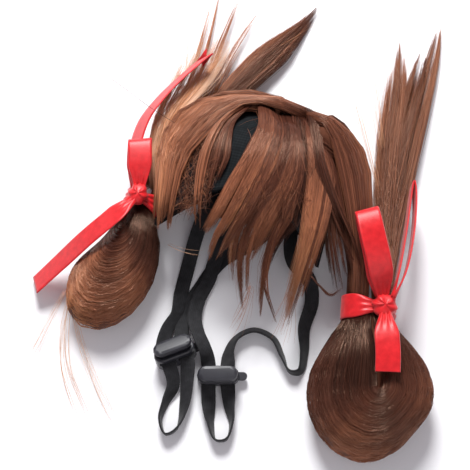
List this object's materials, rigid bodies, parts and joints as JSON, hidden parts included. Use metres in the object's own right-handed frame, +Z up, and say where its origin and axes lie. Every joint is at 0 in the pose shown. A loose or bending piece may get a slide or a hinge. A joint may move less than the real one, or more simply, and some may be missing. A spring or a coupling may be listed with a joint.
{
  "type": "dog wig",
  "caption": "Small hair wig for a dog: open stretch cap with swept hair, fringe and folded pigtails tied with satin ribbons, and flat elastic chin straps with sprung cord locks.",
  "frame": {"origin": "on the surface the wig lies on, under the middle of the cap", "axes": "+Z up, out of the front of the wig; +Y towards the crown; -Y out of the opening for the head; +X towards the right pigtail as seen from the front"},
  "size_m": [0.2623, 0.2972, 0.0695],
  "materials": {
    "hair": "glossy synthetic fibre",
    "cap_cloth": "matte knit",
    "satin": "satin",
    "elastic": "woven matte",
    "lock_plastic": "matte"
  },
  "bodies": {
    "wig": {"cap": "cap_cloth", "back_hair": "hair", "side_hair_left": "hair", "side_hair_right": "hair", "fringe": "hair", "pigtail_loop_left": "hair", "pigtail_loop_right": "hair", "pigtail_ends_left": "hair", "pigtail_ends_right": "hair", "ribbon_left": "satin", "ribbon_right": "satin", "strap_front": "elastic", "strap_back": "elastic", "cord_lock_front_body": "lock_plastic", "cord_lock_back_body": "lock_plastic"},
    "front_plunger": {"cord_lock_front_plunger": "lock_plastic"},
    "back_plunger": {"cord_lock_back_plunger": "lock_plastic"}
  },
  "joints": [
    {"name": "front_lock_press", "type": "slide", "parent": "wig", "child": "front_plunger", "axis": [0, 0, -1], "range_m": [0, 0.0025], "stiffness_N_per_m": 800, "springref_m": -0.0025},
    {"name": "back_lock_press", "type": "slide", "parent": "wig", "child": "back_plunger", "axis": [0.2202, -0.3031, -0.9272], "range_m": [0, 0.0025], "stiffness_N_per_m": 800, "springref_m": -0.0025}
  ]
}
